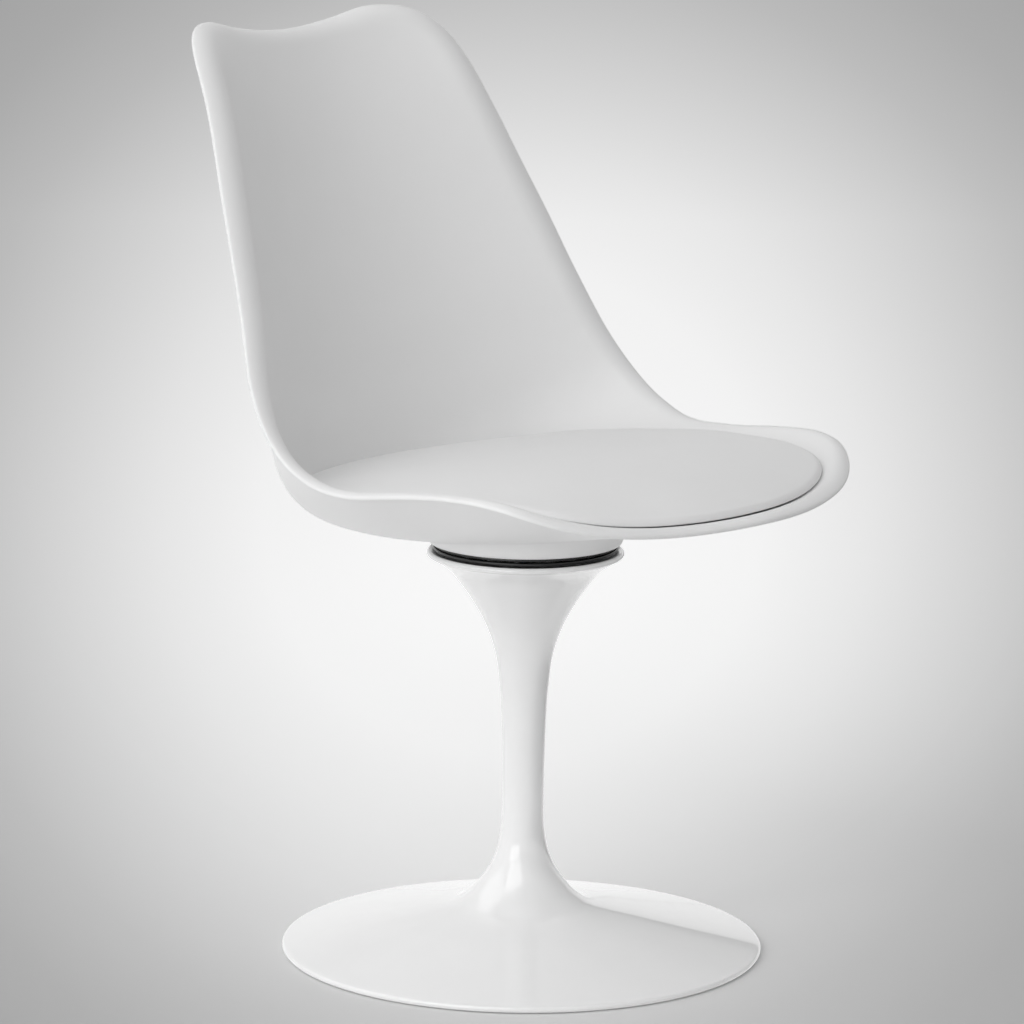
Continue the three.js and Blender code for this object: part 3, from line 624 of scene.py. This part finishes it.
# Leatherette, pebble-embossed vinyl on knit: pale, nearly matt, cells some 1.6 mm across and a broad sheen
leatherette, tree = new_material("pale_embossed_leatherette")
where = add_node(tree, "ShaderNodeTexCoord")
pebbles = add_node(tree, "ShaderNodeTexVoronoi", {
    "Vector": where.outputs["Object"], "Scale": 1 / pebble_size}, feature="DISTANCE_TO_EDGE")
cells = add_node(tree, "ShaderNodeMapRange", {
    "Value": pebbles.outputs["Distance"], "From Max": 0.25})
patches = add_node(tree, "ShaderNodeTexNoise", {
    "Vector": where.outputs["Object"], "Scale": 1 / patch_size, "Detail": 4})
tint = add_node(tree, "ShaderNodeMix", {
    "Factor": patches.outputs["Fac"], 6: linear("EEEEEE"), 7: linear("F2F2F2")}, data_type="RGBA")
bump = add_node(tree, "ShaderNodeBump", {
    "Height": cells.outputs["Result"], "Strength": 0.12, "Distance": pebble_depth})
finish_with(tree, add_node(tree, "ShaderNodeBsdfPrincipled", {
    "Base Color": tint.outputs[2], "Roughness": 0.55, "IOR": 1.48,
    "Sheen Weight": 0.1, "Sheen Roughness": 0.5}), bump)


def cushion_outline(turn):
    return loop_place(cushion_across_shares, cushion_station_shares, turn)


def cushion_place(turn, share, lift):
    """A point over the pan, on the line from the cushion's pole to a place on its outline."""
    across_share, station = cushion_outline(turn)
    across = across_at(across_share, station)
    return raised_point(across * share, cushion_pole + (station - cushion_pole) * share, lift)


def crown_of(edge_point, share):
    """The cushion's top, from its crown to an edge point, where it ends in a small roll."""
    roll = max(0, (share - edge_roll_share) / (1 - edge_roll_share))
    edge_top = edge_point.z + cushion_edge_rise
    point = crown_point.lerp(edge_point, share)
    point.z = (
        edge_point.z + cushion_edge_rise * math.sqrt(max(0, 1 - roll * roll))
        + (crown_point.z - edge_top) * (1 - share ** crown_power))
    return point


def angle_from_crown(point):
    return math.atan2(point.x - crown_point.x, crown_point.y - point.y)


edge_points = sorted(
    (cushion_place(i / points_per_turn, 1, edge_gap) for i in range(points_per_turn * cushion_turn)),
    key=angle_from_crown)
edge_angles = [angle_from_crown(point) for point in edge_points]


def nearest_edge(place_in_plan):
    """The edge point in line with a place in plan, and the place's share of the way there from the
    crown."""
    angle = angle_from_crown(place_in_plan)
    after = bisect.bisect(edge_angles, angle) % len(edge_points)
    step = (edge_angles[after] - edge_angles[after - 1]) % (2 * math.pi)
    edge_point = edge_points[after - 1].lerp(
        edge_points[after], ((angle - edge_angles[after - 1]) % (2 * math.pi)) / step)
    return edge_point, (place_in_plan - crown_point.xy).length / (edge_point.xy - crown_point.xy).length


def top_point(place_in_plan):
    edge_point, share = nearest_edge(place_in_plan)
    return crown_of(edge_point, min(share, edge_roll_share))


def top_outline(turn):
    return crown_of(cushion_place(turn, 1, edge_gap), edge_roll_share).xy


def drawn_under_outline(turn):
    pole = Vector((0, cushion_pole))
    return pole.lerp(cushion_outline(turn), drawn_under_share)


cushion_shape = bmesh.new()
stretched_grid(cushion_shape, top_outline, cushion_corners, cushion_columns, cushion_rows, top_point)
along = cushion_shape.verts.layers.float["along"]
open_edges = [edge for edge in cushion_shape.edges if edge.is_boundary]
for k in range(1, edge_roll_rings + 1):
    ring_share = edge_roll_share + (1 - edge_roll_share) * math.sin(math.pi / 2 * k / edge_roll_rings)
    open_edges = draw_out(cushion_shape, open_edges, along,
                          lambda turn: crown_of(cushion_place(turn, 1, edge_gap), ring_share))
draw_out(cushion_shape, open_edges, along,
         lambda turn: cushion_place(turn, drawn_under_share, cushion_gap))
stretched_grid(cushion_shape, drawn_under_outline, cushion_corners, cushion_columns, cushion_rows,
               lambda place_in_pan: shell_point(place_in_pan, cushion_gap))
bmesh.ops.remove_doubles(cushion_shape, verts=cushion_shape.verts, dist=cushion_weld)
bmesh.ops.recalc_face_normals(cushion_shape, faces=cushion_shape.faces)
cushion = place("seat_cushion", cushion_shape, leatherette, "seat")

# The foam pushes the cover up from within, as air would. It stays drawn tight round the board's edge.
drawn_tight = cushion.vertex_groups.new(name="drawn_tight")
for vert in cushion.data.vertices:
    share = nearest_edge(Vector((vert.co.x, vert.co.y - axis_depth)))[1]
    tight = 1 if vert.normal.z < 0 else (share - free_share) / (tight_share - free_share)
    drawn_tight.add([vert.index], min(max(tight, 0), 1), "REPLACE")
cover = cushion.modifiers.new("cover", "CLOTH")
cover.settings.vertex_group_mass = "drawn_tight"
cover.settings.use_pressure = True
cover.settings.uniform_pressure_force = cover_pressure
cover.settings.effector_weights.gravity = 0
cover.point_cache.frame_end = cloth_frames
for frame_number in range(1, cloth_frames + 1):
    scene.frame_set(frame_number)
swollen = bpy.data.meshes.new_from_object(cushion.evaluated_get(bpy.context.evaluated_depsgraph_get()))
cushion.modifiers.remove(cover)
for vert, moved in zip(cushion.data.vertices, swollen.vertices):
    swell = moved.co - vert.co
    vert.co += swell * swell_cap / (swell_cap + swell.length)
bpy.data.meshes.remove(swollen)
scene.frame_set(1)
subdivided = cushion.modifiers.new("fine", "SUBSURF")
subdivided.levels = subdivided.render_levels = 1
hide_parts("cushion_cover", "cushion_foam")


# Hardware and hidden parts: bought-in screws, pins, balls, bushes and pads, kept as the CAD has them, each
# in its own finish
plating_mottle = 2 * mm
ground_mottle = 1 * mm
turned_mottle = 1.5 * mm
board_grain = 1.2 * mm
tape_grain = 0.8 * mm
roughness_spread = 0.2


def metal(name, low, high, roughness, mottle_size):
    """A plated, ground or turned metal, a little mottled in colour and gloss."""
    material, tree = new_material(name)
    where = add_node(tree, "ShaderNodeTexCoord")
    mottle = add_node(tree, "ShaderNodeTexNoise", {
        "Vector": where.outputs["Object"], "Scale": 1 / mottle_size, "Detail": 4})
    tint = add_node(tree, "ShaderNodeMix", {
        "Factor": mottle.outputs["Fac"], 6: linear(low), 7: linear(high)}, data_type="RGBA")
    rough = add_node(tree, "ShaderNodeMapRange", {
        "Value": mottle.outputs["Fac"],
        "To Min": roughness * (1 - roughness_spread), "To Max": roughness * (1 + roughness_spread)})
    finish_with(tree, add_node(tree, "ShaderNodeBsdfPrincipled", {
        "Base Color": tint.outputs[2], "Roughness": rough.outputs["Result"], "Metallic": 1}))
    return material


# Zinc plate is cool and half dull, ground bearing steel is bright, and turned brass is warm. Their mottling
# is drawn coarser than the real one, which is too fine to show.
zinc = metal("zinc_plated_steel", "B2B5BA", "C4C7CB", 0.32, plating_mottle)
chrome_steel = metal("ground_bearing_steel", "CACCD0", "D8DADD", 0.12, ground_mottle)
brass = metal("turned_brass", "AE8F4C", "C2A565", 0.32, turned_mottle)


def moulded(name, low, high, roughness, grain_size):
    """A moulded or woven stock finish with a grain of one size."""
    material, tree = new_material(name)
    where = add_node(tree, "ShaderNodeTexCoord")
    grain = add_node(tree, "ShaderNodeTexNoise", {
        "Vector": where.outputs["Object"], "Scale": 1 / grain_size, "Detail": 5})
    tint = add_node(tree, "ShaderNodeMix", {
        "Factor": grain.outputs["Fac"], 6: linear(low), 7: linear(high)}, data_type="RGBA")
    bump = add_node(tree, "ShaderNodeBump", {
        "Height": grain.outputs["Fac"], "Strength": 0.4, "Distance": grain_size / 4})
    finish_with(tree, add_node(tree, "ShaderNodeBsdfPrincipled", {
        "Base Color": tint.outputs[2], "Roughness": roughness}), bump)
    return material


# The board is dull grey polypropylene with a coarse grain, and the hook and loop pads are matt white nylon
polypropylene = moulded("grey_polypropylene", "68696B", "747678", 0.55, board_grain)
tape = moulded("white_hook_and_loop", "CFCFCD", "DEDEDC", 0.9, tape_grain)
finishes = {
    "swivel_pivot": zinc, "pivot_washer": zinc, "pivot_nut": zinc, "plate_screw": zinc, "shell_screw": zinc,
    "race_ball": chrome_steel, "pivot_bush": brass, "shell_insert": brass, "ball_cage": nylon,
    "cushion_board": polypropylene, "hook_pad": tape, "loop_pad": tape,
}
for name, node in frame["nodes"].items():
    for start_of_name, material in finishes.items():
        if name.startswith(start_of_name):
            node.data.materials.clear()
            node.data.materials.append(material)


# Floor: a pale sweep, plain but for a painted pool of light. This painted light falls off to grey in ovals
# that are fixed on the floor and lengthen away from a point well before the chair, which gives the
# photograph's round falloff from its own side.
# Gloss mirrors the floor as a glowing white sweep, a painted reflection, that turns grey past a line on it.
floor_radius = 60
floor_sides = 96
pool_start = (-3.754, -3.162, 0)
pool_heading = math.radians(-49.85)
pool_middle = 6.9
pool_length = 1.36
pool_edge = 0.137
least_reach = 4.4
lamp_reach = 9.5
seen_brightness = 1.52
near_brightness = 0.8 * seen_brightness
far_brightness = 1.29 * seen_brightness
side_limit = 0.02
side_brightness = 0.086 * seen_brightness
sweep_half_width = 0.4
sweep_fade = 0.25
floor_shape = bmesh.new()
bmesh.ops.create_circle(floor_shape, cap_ends=True, segments=floor_sides, radius=floor_radius)
floor_mesh = bpy.data.meshes.new("floor")
floor_shape.to_mesh(floor_mesh)
floor_shape.free()
floor = bpy.data.objects.new("floor", floor_mesh)
scene.collection.objects.link(floor)


def looked_at(tree):
    """The light paths, and a value of 1 for what is seen straight, in gloss or through something clear."""
    paths = add_node(tree, "ShaderNodeLightPath")
    straight_or_mirrored = add_node(tree, "ShaderNodeMath", {
        0: paths.outputs["Is Camera Ray"], 1: paths.outputs["Is Glossy Ray"]}, operation="MAXIMUM")
    seen = add_node(tree, "ShaderNodeMath", {
        0: straight_or_mirrored.outputs[0], 1: paths.outputs["Is Transmission Ray"]}, operation="MAXIMUM")
    return paths, seen.outputs[0]


# Matt white paint, rolled on. Where it is looked at, painted light lightens it to make up for the lamps'
# falloff.
sweep, tree = new_material("matt_floor_with_painted_light")
where = add_node(tree, "ShaderNodeTexCoord")
pool = add_node(tree, "ShaderNodeMapping", {
    "Vector": where.outputs["Object"], "Location": pool_start, "Rotation": (0, 0, pool_heading)},
    vector_type="TEXTURE")
in_pool = add_node(tree, "ShaderNodeSeparateXYZ", {0: pool.outputs[0]})
reach = add_node(tree, "ShaderNodeMath", {0: in_pool.outputs["Y"], 1: least_reach}, operation="MAXIMUM")
aside = add_node(tree, "ShaderNodeMath", {0: in_pool.outputs["X"], 1: reach.outputs[0]}, operation="DIVIDE")
ahead = add_node(tree, "ShaderNodeMath", {0: pool_length, 1: reach.outputs[0]}, operation="DIVIDE")
past = add_node(tree, "ShaderNodeMath", {
    0: ahead.outputs[0], 1: pool_length / pool_middle}, operation="SUBTRACT")
oval = add_node(tree, "ShaderNodeCombineXYZ", {0: aside.outputs[0], 1: past.outputs[0]})
off_middle = add_node(tree, "ShaderNodeVectorMath", {0: oval.outputs[0]}, operation="LENGTH")
fall = add_node(tree, "ShaderNodeMapRange", {"Value": off_middle.outputs["Value"], "From Max": pool_edge})
# Painted light: this ramp paints a pool of light that falls off from white to grey across the ovals.
painted_light_pool = add_node(tree, "ShaderNodeValToRGB", {"Fac": fall.outputs["Result"]}, stops=[
    (0, "FFFFFF"), (0.18, "FDFDFD"), (0.33, "F9F9F9"), (0.47, "ECECEC"), (0.62, "D8D8D8"),
    (0.76, "C3C3C3"), (0.88, "B5B5B5"), (1, "ADADAD")])
near_or_far = add_node(tree, "ShaderNodeMapRange", {
    "Value": reach.outputs[0], "From Min": least_reach, "From Max": lamp_reach,
    "To Min": near_brightness, "To Max": far_brightness})
side = add_node(tree, "ShaderNodeMath", {0: aside.outputs[0], 1: reach.outputs[0]}, operation="DIVIDE")
left_or_right = add_node(tree, "ShaderNodeMapRange", {
    "Value": side.outputs[0], "From Min": -side_limit, "From Max": side_limit,
    "To Min": -side_brightness, "To Max": side_brightness})
brightness = add_node(tree, "ShaderNodeMath", {
    0: left_or_right.outputs["Result"], 1: near_or_far.outputs["Result"]})
shade = add_node(tree, "ShaderNodeVectorMath", {
    0: painted_light_pool.outputs["Color"], "Scale": brightness.outputs[0]}, operation="SCALE")
paths, seen = looked_at(tree)
# Seen straight, the floor shows the painted pool of light, lifted past white; for light it bounces plain
# paint.
paint_with_painted_light = add_node(tree, "ShaderNodeMix", {
    "Factor": seen, 6: linear("E6E6E6"), 7: shade.outputs[0]}, data_type="RGBA")
painted = add_node(tree, "ShaderNodeBsdfDiffuse", {"Color": paint_with_painted_light.outputs[2]})
past_sweep = add_node(tree, "ShaderNodeMapRange", {
    "Value": in_pool.outputs["X"], "From Min": sweep_half_width, "From Max": sweep_half_width + sweep_fade})
painted_reflection_colour = add_node(tree, "ShaderNodeMix", {
    "Factor": past_sweep.outputs["Result"], 6: linear("FFFFFF"), 7: linear("909090")}, data_type="RGBA")
# Painted reflection: in gloss the floor glows with a white sweep that turns grey past a line, though it is
# no lamp.
glowing_painted_reflection = add_node(tree, "ShaderNodeEmission", {"Color": painted_reflection_colour.outputs[2]})
finish_with(tree, add_node(tree, "ShaderNodeMixShader", {
    0: paths.outputs["Is Glossy Ray"], 1: painted.outputs[0], 2: glowing_painted_reflection.outputs[0]}))
floor.data.materials.append(sweep)


# Studio light: four soft boxes, the strongest one high at the chair's right, and a pale room that fills the
# shadows. Gloss mirrors the room's walls: one is nearly white, and the other has a dark line low down that
# pales upwards, which draws the crisp line in the base's paint. Heights on a wall are sines of an angle.
lamp_aim = Vector((0, 0, 0.4))
room_strength = 0.45
dark_side = (0.645, -0.764, 0)
side_blend = (-0.05, 0.06)
dim_from = 0.2
dim_to = 0.4
dim_share = 0.85


def soft_box(name, place_of_lamp, size, watts):
    """A rectangular lamp that is aimed at the middle of the chair and that the camera doesn't see."""
    lamp = bpy.data.lights.new(name, "AREA")
    lamp.shape = "RECTANGLE"
    lamp.size, lamp.size_y = size
    lamp.energy = watts
    lamp_object = bpy.data.objects.new(name, lamp)
    scene.collection.objects.link(lamp_object)
    lamp_object.visible_camera = False
    direction = lamp_aim - Vector(place_of_lamp)
    lamp_object.matrix_world = (
        Matrix.Translation(place_of_lamp) @ direction.to_track_quat("-Z", "Y").to_matrix().to_4x4())


soft_box("low_front_box", (-2.76, -0.25, 0.79), (2.2, 0.9), 13)
soft_box("front_box", (-2.33, -0.41, 2.25), (2.4, 2), 26.5)
soft_box("left_box", (-1.19, 2.05, 2.25), (2.4, 2), 12.5)
soft_box("high_back_box", (0.86, 0.72, 3.18), (2, 2), 5.5)
world = bpy.data.worlds.new("pale_room")
scene.world = world
world.use_nodes = True
world.node_tree.nodes.clear()
tree = world.node_tree
paths, seen = looked_at(tree)
room = add_node(tree, "ShaderNodeBackground", {"Color": linear("FFFFFF"), "Strength": room_strength})
where = add_node(tree, "ShaderNodeTexCoord")
direction = add_node(tree, "ShaderNodeSeparateXYZ", {0: where.outputs["Generated"]})
dark_wall = add_node(tree, "ShaderNodeValToRGB", {"Fac": direction.outputs["Z"]}, stops=[
    (0, "FFFFFF"), (0.238, "FFFFFF"), (0.245, "5C5C5C"), (0.262, "9C9C9C"), (0.3, "CACACA"),
    (0.8, "E4E4E4")])
white_wall = add_node(tree, "ShaderNodeMapRange", {
    "Value": direction.outputs["Z"], "From Min": dim_from, "From Max": dim_to,
    "To Min": 1, "To Max": dim_share})
to_dark_side = add_node(tree, "ShaderNodeVectorMath", {
    0: where.outputs["Generated"], 1: dark_side}, operation="DOT_PRODUCT")
dark_share = add_node(tree, "ShaderNodeMapRange", {
    "Value": to_dark_side.outputs["Value"], "From Min": side_blend[0], "From Max": side_blend[1]})
walls = add_node(tree, "ShaderNodeMix", {
    "Factor": dark_share.outputs["Result"], 6: white_wall.outputs["Result"], 7: dark_wall.outputs["Color"]},
    data_type="RGBA")
seen_wall = add_node(tree, "ShaderNodeMix", {
    "Factor": paths.outputs["Is Glossy Ray"], 6: linear("A6A6A6"), 7: walls.outputs[2]}, data_type="RGBA")
backdrop = add_node(tree, "ShaderNodeBackground", {"Color": seen_wall.outputs[2]})
both = add_node(tree, "ShaderNodeMixShader", {0: seen, 1: room.outputs[0], 2: backdrop.outputs[0]})
add_node(tree, "ShaderNodeOutputWorld", {"Surface": both.outputs[0]})
